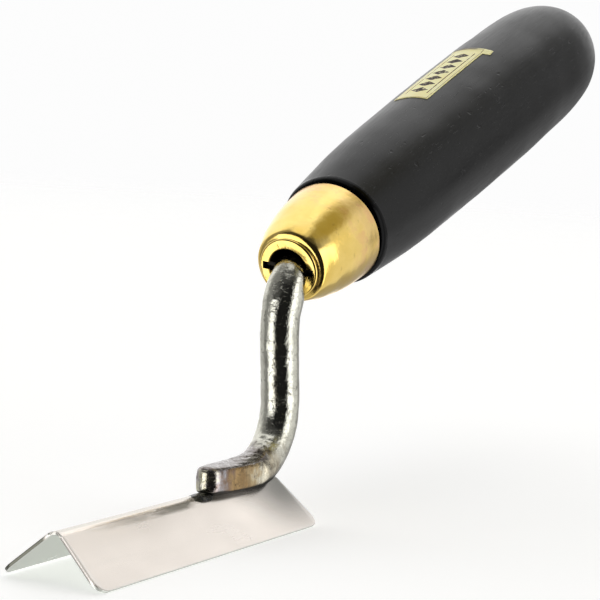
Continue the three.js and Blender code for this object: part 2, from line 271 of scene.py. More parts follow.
def spline(pairs, count, end_slope=None):
    """A smooth curve through (radius, distance) pairs, evenly sampled along the distance."""
    pairs = np.asarray(pairs, float)
    knots = pairs[:, 1]
    slopes = np.gradient(pairs[:, 0], knots)
    if end_slope is not None:
        slopes[-1] = end_slope
    along = np.linspace(knots[0], knots[-1], count)
    index = np.clip(np.searchsorted(knots, along, side="right") - 1, 0, len(knots) - 2)
    span = knots[index + 1] - knots[index]
    radius = hermite((along - knots[index]) / span, pairs[index, 0], pairs[index + 1, 0],
                     span * slopes[index], span * slopes[index + 1])
    return [(float(r), float(a)) for r, a in zip(radius, along)]


def free_spline(pairs, steps):
    """A smooth curve through (radius, distance) pairs that may run in any direction."""
    pairs = np.asarray(pairs, float)
    slopes = np.gradient(pairs, axis=0)
    curve = []
    for i in range(len(pairs) - 1):
        for k in range(steps):
            at = hermite(k / steps, pairs[i], pairs[i + 1], slopes[i], slopes[i + 1])
            curve.append((float(at[0]), float(at[1])))
    return curve


def arc(centre, radii, start_deg, end_deg, count):
    """Points of an ellipse's arc, as (radius, distance)."""
    angles = np.radians(np.linspace(start_deg, end_deg, count))
    return [(float(centre[0] + radii[0] * math.cos(a)), float(centre[1] + radii[1] * math.sin(a)))
            for a in angles]


# ---- Node-material helpers ----------------------------------------------------------------

class Nodes:
    """A short way to write a node tree."""

    def __init__(self, tree, output_type, shader_type):
        self.tree = tree
        tree.nodes.clear()
        self.output = tree.nodes.new(output_type)
        self.shader = tree.nodes.new(shader_type)
        tree.links.new(self.shader.outputs[0], self.output.inputs["Surface"])

    def link(self, value, socket):
        if hasattr(value, "is_output"):
            self.tree.links.new(value, socket)
        elif isinstance(value, tuple) and len(value) == 3 and socket.type == "RGBA":
            socket.default_value = (*value, 1.0)
        else:
            socket.default_value = value

    def set(self, **inputs):
        for key, value in inputs.items():
            self.link(value, self.shader.inputs[key.replace("_", " ")])

    def mapped(self, vector, location=(0, 0, 0), turn=(0, 0, 0), scale=(1, 1, 1)):
        node = self.tree.nodes.new("ShaderNodeMapping")
        node.inputs["Location"].default_value = location
        node.inputs["Rotation"].default_value = turn
        node.inputs["Scale"].default_value = scale
        self.tree.links.new(vector, node.inputs["Vector"])
        return node.outputs[0]

    def place_of(self, scale=(1, 1, 1), turn=(0, 0, 0)):
        """The tool frame's coordinates in millimetres, turned and then stretched."""
        source = self.tree.nodes.new("ShaderNodeTexCoord")
        in_tool = self.mapped(source.outputs["Object"], tuple(-ROW_ORIGIN), scale=(1 / MM,) * 3)
        return self.mapped(self.mapped(in_tool, turn=turn), scale=scale)

    def attribute(self, name):
        node = self.tree.nodes.new("ShaderNodeAttribute")
        node.attribute_name = name
        return node.outputs["Fac"]

    def facing_up(self):
        """1 on surfaces that face straight up, 0 on upright ones and -1 underneath."""
        geometry = self.tree.nodes.new("ShaderNodeNewGeometry")
        return self.split(geometry.outputs["Normal"])[2]

    def dot(self, vector, direction):
        node = self.tree.nodes.new("ShaderNodeVectorMath")
        node.operation = "DOT_PRODUCT"
        self.tree.links.new(vector, node.inputs[0])
        node.inputs[1].default_value = direction
        return node.outputs["Value"]

    def noise(self, vector, detail, roughness=0.5, distortion=0.0):
        node = self.tree.nodes.new("ShaderNodeTexNoise")
        self.tree.links.new(vector, node.inputs["Vector"])
        node.inputs["Scale"].default_value = 1.0
        node.inputs["Detail"].default_value = detail
        node.inputs["Roughness"].default_value = roughness
        node.inputs["Distortion"].default_value = distortion
        return node.outputs["Fac"]

    def math(self, operation, a, b=0.0, c=0.0):
        node = self.tree.nodes.new("ShaderNodeMath")
        node.operation = operation
        for value, socket in zip((a, b, c), node.inputs):
            self.link(value, socket)
        return node.outputs[0]

    def times(self, a, b):
        return self.math("MULTIPLY", a, b)

    def plus(self, a, b):
        return self.math("ADD", a, b)

    def minus(self, a, b):
        return self.math("SUBTRACT", a, b)

    def range(self, value, low, high, new_low=0.0, new_high=1.0):
        node = self.tree.nodes.new("ShaderNodeMapRange")
        for item, key in ((value, "Value"), (low, "From Min"), (high, "From Max"),
                          (new_low, "To Min"), (new_high, "To Max")):
            self.link(item, node.inputs[key])
        return node.outputs[0]

    def fade(self, value, low, high):
        """0 below low and 1 above high, with a smooth step between; or the other way round."""
        node = self.tree.nodes.new("ShaderNodeMapRange")
        node.interpolation_type = "SMOOTHSTEP"
        self.link(value, node.inputs["Value"])
        node.inputs["From Min"].default_value = low
        node.inputs["From Max"].default_value = high
        return node.outputs[0]

    def window(self, value, low, high, soft):
        """1 between low and high, 0 outside, with soft edges centred on both."""
        rise = self.fade(value, low - soft / 2, low + soft / 2)
        fall = self.fade(value, high + soft / 2, high - soft / 2)
        return self.times(rise, fall)

    def ramp(self, value, stops):
        """A colour looked up in (position, colour) stops."""
        node = self.tree.nodes.new("ShaderNodeValToRGB")
        while len(node.color_ramp.elements) < len(stops):
            node.color_ramp.elements.new(0.5)
        for element, (position, colour) in zip(node.color_ramp.elements, stops):
            element.position = position
            element.color = (*colour, 1.0)
        self.link(value, node.inputs[0])
        return node.outputs[0]

    def blend(self, factor, a, b):
        """The colour a where the factor is 0 and b where it is 1."""
        node = self.tree.nodes.new("ShaderNodeMix")
        node.data_type = "RGBA"
        self.link(factor, node.inputs[0])
        self.link(a, node.inputs[6])
        self.link(b, node.inputs[7])
        return node.outputs[2]

    def split(self, vector):
        node = self.tree.nodes.new("ShaderNodeSeparateXYZ")
        self.tree.links.new(vector, node.inputs[0])
        return node.outputs

    def bump(self, height, distance_mm, below=None):
        """A normal for relief of this depth, on top of the relief below it."""
        node = self.tree.nodes.new("ShaderNodeBump")
        node.inputs["Distance"].default_value = distance_mm * MM
        node.inputs["Strength"].default_value = 1.0
        self.link(height, node.inputs["Height"])
        if below is not None:
            self.tree.links.new(below, node.inputs["Normal"])
        return node.outputs[0]


def new_material(name):
    """A material with a Principled shader, as its node tree and itself."""
    material = bpy.data.materials.new(name)
    material.use_nodes = True
    tree = material.node_tree
    return Nodes(tree, "ShaderNodeOutputMaterial", "ShaderNodeBsdfPrincipled"), material


# ---- Blade --------------------------------------------------------------------------------

def ridge_height(y):
    """Height of the blade's outer surface above the ridge line, at a distance from the middle."""
    y = abs(y)
    if y < RIDGE_RADIUS * slope_sin:
        return -RIDGE_RADIUS / slope_cos + math.sqrt(RIDGE_RADIUS**2 - y**2)
    return -y * slope_sin / slope_cos


def wing_rows(width):
    """Rows along the blade from the ridge to one free edge, each as (y, z, angle of the outer
    normal, distance down the wing, pull-in of the row's ends at the rounded corner)."""
    rows = []
    for step in range(13):
        angle = WING_SLOPE * step / 12
        y = RIDGE_RADIUS * math.sin(angle)
        rows.append((y, ridge_height(y), angle, y * slope_cos - ridge_height(y) * slope_sin, 0.0))
    flat_start = RIDGE_RADIUS * math.tan(WING_SLOPE / 2)
    flat_end = width - CORNER_RADIUS
    for step in range(1, 25):
        down = mix(flat_start, flat_end, step / 24)
        rows.append((down * slope_cos, -down * slope_sin, WING_SLOPE, down, 0.0))
    for step in range(1, 13):
        turn = math.pi / 2 * step / 12
        down = flat_end + CORNER_RADIUS * math.sin(turn)
        pull = CORNER_RADIUS * (1 - math.cos(turn))
        rows.append((down * slope_cos, -down * slope_sin, WING_SLOPE, down, pull))
    return rows


def make_blade():
    columns = 140
    wider, narrower = wing_rows(WING_WIDTH), wing_rows(NARROW_WING_WIDTH)
    rows = [(-y, z, -angle, down, pull) for y, z, angle, down, pull in reversed(wider[1:])]
    rows += narrower
    points = []
    for y, z, angle, down, pull in rows:
        flare = END_FLARE * down / WING_WIDTH
        start, end = -flare + pull, RIDGE_LENGTH + flare - pull
        for k in range(columns + 1):
            x = mix(start, end, k / columns)
            wave = 0.05 * noise.noise(Vector((x * 0.05, y * 0.09, 3.0)))
            depth = SHEET / 2 - wave
            points.append((x, y - depth * math.sin(angle), z - depth * math.cos(angle)))
    faces = []
    for i in range(len(rows) - 1):
        for k in range(columns):
            a = i * (columns + 1) + k
            faces.append((a, a + 1, a + columns + 2, a + columns + 1))
    blade = make_piece("blade_sheet", points, faces)
    thicken = blade.modifiers.new("sheet", "SOLIDIFY")
    thicken.thickness = SHEET * MM
    thicken.offset = 0
    rim = blade.modifiers.new("rim", "BEVEL")
    rim.width = SHEET_BEVEL * MM
    rim.segments = 2
    rim.limit_method = "ANGLE"
    rim.angle_limit = math.radians(50)
    apply_modifiers(blade)
    blade.data.set_sharp_from_angle(angle=math.radians(50))
    return blade


# ---- Shank --------------------------------------------------------------------------------

def rounded_path(corners, spacing):
    """Points and directions along straight lines joined by arcs, in the plane Y = 0.
    Corners are (x, z, radius), and the first and last are the path's ends."""
    points = [np.array(corners[0][:2], float)]
    for before, (x, z, radius), after in zip(corners, corners[1:], corners[2:]):
        at = np.array([x, z], float)
        back = np.array(before[:2]) - at
        ahead = np.array(after[:2]) - at
        back, ahead = back / np.linalg.norm(back), ahead / np.linalg.norm(ahead)
        half = math.acos(float(back @ ahead)) / 2
        middle = (back + ahead) / np.linalg.norm(back + ahead)
        centre = at + middle * radius / math.sin(half)
        start = at + back * radius / math.tan(half) - centre
        turn = math.pi - 2 * half
        sign = 1.0 if back[0] * ahead[1] - back[1] * ahead[0] < 0 else -1.0
        for k in range(65):
            a = sign * turn * k / 64
            c, s = math.cos(a), math.sin(a)
            points.append(centre + np.array([c * start[0] - s * start[1],
                                             s * start[0] + c * start[1]]))
    points.append(np.array(corners[-1][:2], float))
    points = np.array(points)
    lengths = np.r_[0, np.cumsum(np.linalg.norm(np.diff(points, axis=0), axis=1))]
    toe_steps = TOE_HALF_WIDTH * (1 - np.cos(np.radians(np.linspace(0, 90, 19))))
    count = int((lengths[-1] - TOE_HALF_WIDTH) / spacing)
    distances = np.r_[toe_steps, np.linspace(TOE_HALF_WIDTH, lengths[-1], count + 1)[1:]]
    x = np.interp(distances, lengths, points[:, 0])
    z = np.interp(distances, lengths, points[:, 1])
    ahead = [np.interp(distances + TANGENT_REACH, lengths, points[:, i]) for i in (0, 1)]
    behind = [np.interp(distances - TANGENT_REACH, lengths, points[:, i]) for i in (0, 1)]
    tangent = np.array(ahead) - np.array(behind)
    tangent /= np.linalg.norm(tangent, axis=0)
    return distances, np.array([x, z]).T, tangent.T


def rounded_inset(distance, radius):
    """How far a quarter-round edge has pulled in, at a distance from where it starts."""
    left = max(0.0, 1 - distance / radius)
    return radius * (1 - math.sqrt(1 - left * left))


def shank_radius(distance, total, turn):
    """Distance from the rod's centre to its surface; turn is 0 towards +Y and 90 degrees up.
    The foot's section is an oval, higher than it is wide, whose sides are pressed flat."""
    mouth_at = total - TANG_LENGTH
    to_tang = smoothstep(distance, mouth_at - KNEE_RADIUS, mouth_at)
    to_tip = np.clip(1 - (total - distance) / TANG_TAPER, 0, 1)
    rod = mix(ROD_RADIUS, mix(TANG_RADIUS, TANG_TIP_RADIUS, to_tip), to_tang)
    if distance > FOOT_LENGTH:
        return rod
    c, s = math.cos(turn), math.sin(turn)
    side_inset = rounded_inset(distance, TOE_HALF_WIDTH)
    edge_inset = rounded_inset(distance, TOE_EDGE)
    side = mix(TOE_HALF_WIDTH, PRESSED_HALF_WIDTH, min(1.0, distance / PRESS_END)) - side_inset
    side = max(LEAST_HALF_WIDTH,
               mix(side, UNPRESSED, smoothstep(distance, PRESS_END, PRESS_END + PRESS_FADE)))
    if s > 0:
        crown = mix(TOE_TOP, rod, smoothstep(distance, 8, 28)) - edge_inset
        across = mix(2.0 * TOE_HALF_WIDTH, rod, smoothstep(distance, 3, 22))
    else:
        crown = mix(TOE_BOTTOM, rod, smoothstep(distance, 2, 24)) - edge_inset
        across = mix(2.1 * TOE_HALF_WIDTH, rod, smoothstep(distance, 2, 20))
    oval = math.hypot(c / across, s / crown)
    sharpness = mix(TOE_SHARPNESS, FLAT_SHARPNESS, smoothstep(distance, 2, 9))
    return (oval**sharpness + (abs(c) / side) ** sharpness) ** (-1 / sharpness)


def shank_dents(point, distance, total, across, up):
    """Small unevenness of the forged surface, strongest on the foot's top and in the heel. At
    the knee the rod is squeezed: lower at the top and fuller on the side towards -Y."""
    slow = noise.noise(Vector(point) * 0.22) * 0.07 + noise.noise(Vector(point) * 0.6) * 0.03
    worked = smoothstep(distance, 3, 14) * (1 - smoothstep(distance, 24, 34))
    hammered = noise.noise(Vector(point) * 0.75) * 0.16 * worked * max(0.0, up)
    mouth_at = total - TANG_LENGTH
    at_knee = smoothstep(distance, mouth_at - 11, mouth_at - 4)
    at_knee *= 1 - smoothstep(distance, mouth_at - 1, mouth_at + 3)
    fuller = KNEE_FULLNESS * max(0.0, -across) * at_knee
    lower = KNEE_DROP * max(0.0, up) * smoothstep(distance, mouth_at - 7, mouth_at - 1)
    return slow + hammered + fuller - lower


def shank_corners():
    knee = mouth - KNEE_LEAD * axis_dir
    tip = mouth + TANG_LENGTH * axis_dir
    return [(TOE_X, FOOT_RISE), (HEEL_X, FOOT_RISE, HEEL_RADIUS), (*WAIST, WAIST_RADIUS),
            (knee[0], knee[2], KNEE_RADIUS), (tip[0], tip[2])]


def shank_rings(grow, segments, spacing, dented):
    """The rod's points and faces, and each point's distance from the toe."""
    distances, centres, tangents = rounded_path(shank_corners(), spacing)
    total = distances[-1]
    points, along = [], []
    for distance, (x, z), (tx, tz) in zip(distances, centres, tangents):
        for k in range(segments):
            turn = 2 * math.pi * (k + 0.5) / segments
            across, up = math.cos(turn), math.sin(turn)
            radius = shank_radius(distance, total, turn) + grow
            if dented:
                at = (x + across, across * 5, z + up * 5)
                radius += shank_dents(at, distance, total, across, up)
            point = [x - tz * up * radius, across * radius, z + tx * up * radius]
            if x < RIDGE_LENGTH + 4 and grow == 0:
                point[2] = max(point[2], ridge_height(point[1]) + 0.02)
            points.append(point)
            along.append(distance)
    return points, ring_faces(len(distances), segments), along


def bar_on_axis(start, end, reach, half_width):
    """Corners and faces of a flat bar across the handle's axis, at the notches' angle."""
    turn_c, turn_s = math.cos(NOTCH_TWIST), math.sin(NOTCH_TWIST)
    points = []
    for along in (start, end):
        for side, up in ((-1, -1), (1, -1), (1, 1), (-1, 1)):
            across, lift = side * reach, up * half_width
            points.append(mouth + along * axis_dir
                          + (across * turn_c - lift * turn_s) * axis_side
                          + (across * turn_s + lift * turn_c) * axis_up)
    faces = [(0, 3, 2, 1), (4, 5, 6, 7), (0, 1, 5, 4), (1, 2, 6, 5), (2, 3, 7, 6), (3, 0, 4, 7)]
    return points, faces


def make_shank():
    points, faces, along = shank_rings(0.0, segments=84, spacing=0.4, dented=True)
    rod = make_piece("shank_rod", points, faces, crease_deg=60)
    paint(rod, "along", along)
    lug_points, lug_faces = bar_on_axis(LUG_START, LUG_END, LUG_REACH, LUG_HALF_WIDTH)
    lugs = make_piece("shank_lugs", lug_points, lug_faces)
    soften = lugs.modifiers.new("edges", "BEVEL")
    soften.width = LUG_BEVEL * MM
    soften.segments = 2
    apply_modifiers(lugs)
    return rod, lugs


# ---- Welds --------------------------------------------------------------------------------

def make_weld(name, centre, sizes):
    """A puddle of weld metal, lumpy, sunk into the ridge and into the foot."""
    points, rings, segments = [], 32, 48
    for i in range(rings):
        tilt = math.pi * (i + 0.5) / rings
        for k in range(segments):
            turn = 2 * math.pi * k / segments
            way = Vector((math.cos(tilt), math.sin(tilt) * math.cos(turn),
                          math.sin(tilt) * math.sin(turn)))
            lump = 1 + 0.10 * noise.noise(way * 2.2 + Vector((centre[0], 0, 0)))
            x, y, z = (middle + size * part * lump
                       for middle, size, part in zip(centre, sizes, way))
            skin = 0.12 * (1 + noise.noise(Vector((x, y, 0)) * 1.4))
            points.append((x, y, max(z, ridge_height(y) - 0.25 + skin)))
    return make_piece(name, points, ring_faces(rings, segments), crease_deg=70)


# ---- Ferrule ------------------------------------------------------------------------------

def cup_pairs(inset):
    rear = FERRULE_REAR_RADIUS
    return [
        (rear * 0.72 - inset, 2.6 + inset * 0.8),
        (rear * 0.792 - inset, 4.8 + inset * 0.2),
        (rear * 0.88 - inset, 9.0),
        (rear * 0.955 - inset, 14.0),
        (rear - inset, FERRULE_LENGTH),
    ]


def cut_with(piece, cutter):
    """Cuts the cutter out of the piece and deletes it."""
    cut = piece.modifiers.new("cut", "BOOLEAN")
    cut.operation = "DIFFERENCE"
    cut.solver = "EXACT"
    cut.object = cutter
    apply_modifiers(piece)
    bpy.data.objects.remove(cutter)


def neck_curve():
    """The groove behind the rolled lip and the rounded shoulder in front of the cup."""
    return free_spline([
        (LIP_RADIUS - 0.06, LIP_ROUNDING + 0.22),
        (NECK_RADIUS + 0.2, LIP_ROUNDING + 0.42),
        (NECK_RADIUS + 0.55, LIP_ROUNDING + 0.58),
        (NECK_RADIUS + 1.05, LIP_ROUNDING + 0.7),
        (NECK_RADIUS + 1.52, LIP_ROUNDING + 1.0),
        (NECK_RADIUS + 1.84, LIP_ROUNDING + 1.5),
        (NECK_RADIUS + 2.26, LIP_ROUNDING + 2.5),
        (FERRULE_REAR_RADIUS * 0.795, CUP_START - 0.1),
    ], 7)


def make_ferrule():
    cup = [pair for pair in spline(cup_pairs(0.0), 60) if pair[1] > CUP_START]
    inside = spline(cup_pairs(FERRULE_WALL), 24)
    profile = (
        arc((HOLE_RADIUS + HOLE_ROUNDING, HOLE_ROUNDING), (HOLE_ROUNDING, HOLE_ROUNDING),
            180, 270, 5)
        + arc((LIP_RADIUS - LIP_ROUNDING, LIP_ROUNDING), (LIP_ROUNDING, LIP_ROUNDING),
              -90, 0, 12)
        + neck_curve()
        + cup
        + arc((FERRULE_REAR_RADIUS - 0.3, FERRULE_LENGTH - 0.02), (0.28, 0.16), 0, 90, 4)
        + list(reversed(inside))
        + [(HOLE_RADIUS, INSIDE_START)]
    )
    ferrule = turned("ferrule_cup", profile + [profile[0]], 144, wobble=0.05, crease_deg=35)
    notch_points, notch_faces = bar_on_axis(-1.0, LUG_END + 0.3, NOTCH_REACH, NOTCH_HALF_WIDTH)
    cut_with(ferrule, make_piece("notch_cutter", notch_points, notch_faces))
    points, faces, _ = shank_rings(SHANK_CLEARANCE, segments=48, spacing=1.0, dented=False)
    cut_with(ferrule, make_piece("shank_cutter", points, faces))
    ferrule.data.set_sharp_from_angle(angle=math.radians(35))
    # Painted shade: the ferrule's inside is near black.
    paint_shade_inside(ferrule)
    return ferrule


def paint_shade_inside(ferrule):
    """Gives the faces that look at the handle's axis the second material, a near-black painted
    shade.
    """
    for face in ferrule.data.polygons:
        from_mouth = np.array(face.center) / MM - ROW_ORIGIN - mouth
        along = float(from_mouth @ axis_dir)
        outward = from_mouth - along * axis_dir
        inward = float(outward @ np.array(face.normal)) < -0.3 * np.linalg.norm(outward)
        if inward and 0.5 < along < FERRULE_LENGTH - 0.1:
            face.material_index = 1


# ---- Handle -------------------------------------------------------------------------------

SHOULDER_AT = FERRULE_LENGTH + SHOULDER_LENGTH
BUTT_AT = FERRULE_LENGTH + HANDLE_LENGTH - BUTT_LENGTH
BUTT_JOIN = 0.2  # share of the butt's length at which the grip's curve runs into its ellipse


def grip_curve():
    body = BUTT_AT - SHOULDER_AT
    join_radius = BUTT_RADIUS * math.sqrt(1 - BUTT_JOIN**2)
    pairs = [
        (SHOULDER_RADIUS, SHOULDER_AT),
        (GRIP_RADIUS * 0.892, SHOULDER_AT + body * 0.142),
        (GRIP_RADIUS * 0.955, SHOULDER_AT + body * 0.355),
        (GRIP_RADIUS * 0.993, SHOULDER_AT + body * 0.591),
        (GRIP_RADIUS, SHOULDER_AT + body * 0.827),
        (join_radius, BUTT_AT + BUTT_JOIN * BUTT_LENGTH),
    ]
    end_slope = -BUTT_RADIUS**2 * BUTT_JOIN / (join_radius * BUTT_LENGTH)
    return spline(pairs, 150, end_slope)


def make_handle():
    bore = TANG_RADIUS + 0.3
    face = FERRULE_LENGTH + 0.06
    rounding = SHOULDER_RADIUS - FERRULE_REAR_RADIUS + 0.6
    tenon = [pair for pair in spline(cup_pairs(FERRULE_WALL + 0.3), 20) if pair[1] > TENON_FRONT]
    butt_start = math.degrees(math.asin(BUTT_JOIN))
    profile = (
        [(0.0, BORE_DEPTH + bore), (bore, BORE_DEPTH), (bore, TENON_FRONT)]
        + [(tenon[0][0], TENON_FRONT)] + tenon
        + [(tenon[-1][0], face)]
        + arc((SHOULDER_RADIUS - rounding, SHOULDER_AT), (rounding, SHOULDER_AT - face), -90, 0, 16)
        + grip_curve()[1:-1]
        + arc((0.0, BUTT_AT), (BUTT_RADIUS, BUTT_LENGTH), butt_start, 90, 40)[:-1]
        + [(0.0, BUTT_AT + BUTT_LENGTH)]
    )
    return turned("handle_grip", profile, 128, wobble=0.07, crease_deg=40)


# ---- Label --------------------------------------------------------------------------------

def make_label():
    """A thin foil strip that follows the grip, with a torn tab and a lifted end."""
    curve = np.array(grip_curve())
    rows, columns = 90, 24
    points, strip_place = [], []
    for i in range(rows + 1):
        along = LABEL_LENGTH * i / rows
        at_end = along > LABEL_LENGTH - TAB_LENGTH
        near = -LABEL_WIDTH / 2 - (TAB_REACH if at_end else 0.0)
        near += 0.08 * noise.noise(Vector((along * 0.9, 0, 0)))
        far = LABEL_WIDTH / 2 + 0.08 * noise.noise(Vector((along * 0.9, 9, 0)))
        for k in range(columns + 1):
            across = mix(near, far, k / columns)
            ragged = 0.25 * noise.noise(Vector((across * 0.8, 4, 0))) if i in (0, rows) else 0.0
            place_along = FERRULE_LENGTH + LABEL_START + along + ragged
            grip = float(np.interp(place_along, curve[:, 1], curve[:, 0]))
            lift = LABEL_GAP + LABEL_LIFT * smoothstep(along, LABEL_LENGTH - 2.5,
                                                       LABEL_LENGTH + 0.5)
            points.append(on_axis(place_along, grip + lift, LABEL_TURN + across / grip))
            strip_place.append((along / LABEL_LENGTH, across / LABEL_WIDTH + 0.5))
    faces = []
    for i in range(rows):
        for k in range(columns):
            a = i * (columns + 1) + k
            faces.append((a, a + 1, a + columns + 2, a + columns + 1))
    label = make_piece("handle_label_foil", points, faces)
    layer = label.data.uv_layers.new(name="strip")
    for loop in label.data.loops:
        layer.data[loop.index].uv = strip_place[loop.vertex_index]
    thicken = label.modifiers.new("foil", "SOLIDIFY")
    thicken.thickness = FOIL * MM
    thicken.offset = 1
    return apply_modifiers(label)


# ---- Materials ----------------------------------------------------------------------------

ALONG_AXIS = (0, AXIS_TILT, 0)  # turns the handle's axis onto X


def blade_steel():
    """Satin stainless sheet, brushed lengthwise, with pale cut edges. Painted light on it: a dark
    painted reflection of the foot and handle behind the weld, a dark painted reflection and a
    greyer painted tone along the ridge, paler painted inner faces and painted shade under the far
    wing's front tip.
    """
    nodes, material = new_material("satin_stainless")
    x, y, _ = nodes.split(nodes.place_of())
    grain = nodes.noise(nodes.place_of((0.15, 5, 5)), detail=4, roughness=0.6)
    streaks = nodes.noise(nodes.place_of((0.03, 0.9, 0.9)), detail=3)
    smudges = nodes.noise(nodes.place_of((0.05, 0.12, 0.12)), detail=2)
    rubbed = nodes.fade(nodes.noise(nodes.place_of((0.02, 2.2, 2.2)), detail=2), 0.62, 0.72)
    tone = nodes.plus(nodes.range(streaks, 0.3, 0.7, -0.012, 0.012),
                      nodes.range(smudges, 0.3, 0.7, -0.02, 0.02))
    base = nodes.ramp(nodes.plus(tone, 0.5), [
        (0.42, (0.84, 0.775, 0.71)), (0.5, (0.94, 0.865, 0.795)), (0.58, (0.98, 0.91, 0.845)),
    ])
    base = nodes.blend(nodes.times(rubbed, 0.04), base, (0.55, 0.52, 0.49))
    beside = nodes.math("ABSOLUTE", y)
    # Painted shade: the rounded ridge is greyer, to tone down its highlight.
    base = nodes.blend(nodes.fade(beside, 1.3, 0.5), base, (0.66, 0.62, 0.56))
    # Painted reflection: the dark foot and handle mirrored in the wing behind the weld.
    painted_dark_reflection = nodes.times(nodes.fade(x, 56.0, 79.0), nodes.fade(beside, 15.0, 3.0))
    base = nodes.blend(nodes.times(painted_dark_reflection, 0.95), base, (0.13, 0.127, 0.11))
    # Painted reflection: a dark band along the flank of the ridge, from the front to the weld.
    at_weld = nodes.times(nodes.fade(x, 2.0, 42.0), nodes.fade(x, 62.0, 50.0))
    band = nodes.times(nodes.window(beside, 1.3, 2.5, 0.8), at_weld)
    wobble = nodes.noise(nodes.place_of((0.12, 0.5, 0.5)), detail=2)
    band = nodes.times(band, nodes.range(wobble, 0.3, 0.55))
    base = nodes.blend(nodes.times(band, 0.8), base, (0.12, 0.11, 0.07))
    # Painted light: the downward-facing inner faces get a paler base and less metal, to lift them
    # out of their shade.
    inner = nodes.fade(nodes.facing_up(), 0.0, -0.3)
    base = nodes.blend(inner, base, (0.96, 1.0, 0.91))
    # Painted shade under the far wing's front tip.
    far_tip = nodes.times(nodes.fade(y, 1.5, 2.5), nodes.fade(x, 0.1, -0.1))
    edge_y = nodes.fade(y, -WING_WIDTH * slope_cos + 0.5, -WING_WIDTH * slope_cos + 0.1)
    edge_x = nodes.fade(nodes.math("ABSOLUTE", nodes.minus(x, RIDGE_LENGTH / 2)),
                        RIDGE_LENGTH / 2 - 0.05, RIDGE_LENGTH / 2 + 0.05)
    base = nodes.blend(nodes.times(nodes.math("MAXIMUM", edge_x, edge_y), 0.25), base,
                       (0.9, 0.88, 0.85))
    base = nodes.blend(nodes.times(far_tip, nodes.fade(nodes.facing_up(), -0.6, -0.4)),
                       base, (0.16, 0.16, 0.13))
    roughness = nodes.plus(nodes.range(grain, 0.3, 0.7, 0.235, 0.245),
                           nodes.range(smudges, 0.3, 0.7, -0.02, 0.04))
    dents = nodes.noise(nodes.place_of((0.08, 0.12, 0.12)), detail=1)
    nodes.set(Base_Color=base, Metallic=nodes.range(inner, 0, 1, 0.75, 0.45),
              Roughness=roughness, Normal=nodes.bump(dents, 0.10))
    return material


def shank_steel():
    """Forged rod, polished bright, pitted and scratched across, heat-tinted at the welded foot,
    with painted shade under the foot.
    """
    nodes, material = new_material("polished_forged_steel")
    along = nodes.attribute("along")
    up = nodes.facing_up()
    cloud = nodes.noise(nodes.place_of((0.35, 0.35, 0.35)), detail=3)
    pits = nodes.noise(nodes.place_of((0.8, 0.8, 0.8)), detail=5, roughness=0.66)
    pitted = nodes.fade(nodes.plus(pits, nodes.range(cloud, 0.3, 0.7, -0.09, 0.07)), 0.59, 0.66)
    wet = nodes.noise(nodes.place_of((0.55, 0.55, 0.8)), detail=2)
    nicks = nodes.fade(nodes.noise(nodes.place_of((0.6, 0.6, 2.6)), detail=4, distortion=0.6),
                       0.62, 0.69)
    steel = nodes.blend(nodes.range(cloud, 0.3, 0.7), (0.56, 0.55, 0.47), (0.74, 0.73, 0.64))
    steel = nodes.blend(nodes.times(pitted, 0.6), steel, (0.13, 0.12, 0.09))
    steel = nodes.blend(nodes.times(nicks, 0.3), steel, (0.2, 0.2, 0.17))
    uneven = nodes.plus(along, nodes.range(cloud, 0.3, 0.7, -2.5, 2.5))
    tint = nodes.ramp(nodes.range(uneven, 0.0, 30.0), [
        (0.0, (0.82, 0.80, 0.62)), (0.08, (0.46, 0.44, 0.46)), (0.15, (0.30, 0.20, 0.14)),
        (0.24, (0.50, 0.33, 0.14)), (0.36, (0.38, 0.24, 0.10)), (0.50, (0.58, 0.45, 0.25)),
        (0.60, (0.90, 0.85, 0.68)), (0.70, (0.55, 0.50, 0.38)), (1.0, (0.60, 0.58, 0.50)),
    ])
    striped = nodes.noise(nodes.place_of((1.6, 1.6, 0.25)), detail=3)
    tint = nodes.blend(nodes.range(striped, 0.35, 0.6, 0.35, 0.0), tint, (0.20, 0.12, 0.05))
    scaled = nodes.noise(nodes.place_of((0.9, 0.5, 0.5)), detail=5, roughness=0.7)
    top = nodes.ramp(scaled, [(0.34, (0.05, 0.04, 0.035)), (0.44, (0.18, 0.155, 0.14)),
                              (0.58, (0.27, 0.245, 0.24)), (0.70, (0.60, 0.58, 0.54))])
    tint = nodes.blend(nodes.fade(up, 0.45, 0.75), tint, top)
    tint = nodes.blend(nodes.times(pitted, 0.5), tint, (0.06, 0.045, 0.035))
    on_foot = nodes.fade(uneven, 30.0, 21.0)
    base = nodes.blend(on_foot, steel, tint)
    # Painted shade: the foot's underside is near black, rougher and less metallic.
    under = nodes.times(nodes.fade(up, -0.25, -0.55), nodes.fade(along, 31.0, 22.0))
    base = nodes.blend(nodes.times(under, 0.97), base, (0.008, 0.007, 0.005))
    roughness = nodes.plus(nodes.range(pitted, 0, 1, 0.10, 0.36),
                           nodes.range(on_foot, 0, 1, 0.0, 0.08))
    roughness = nodes.plus(roughness, nodes.times(under, 0.3))
    waves = nodes.bump(wet, 0.08)
    shape = nodes.bump(pits, 0.10, below=nodes.bump(nicks, -0.02, below=waves))
    nodes.set(Base_Color=base, Metallic=nodes.range(under, 0, 1, 1.0, 0.4), Roughness=roughness,
              Normal=shape)
    return material


def scale_and_painted_shade():
    """Blackened metal: forging scale on the tang's unpolished lugs, and painted shade on the
    ferrule's inside.
    """
    nodes, material = new_material("scale_and_painted_shade")
    crust = nodes.noise(nodes.place_of((1.5, 1.5, 1.5)), detail=4)
    base = nodes.ramp(crust, [(0.35, (0.008, 0.007, 0.006)), (0.65, (0.03, 0.026, 0.02))])
    nodes.set(Base_Color=base, Metallic=0.6, Roughness=0.6, Normal=nodes.bump(crust, 0.1))
    return material


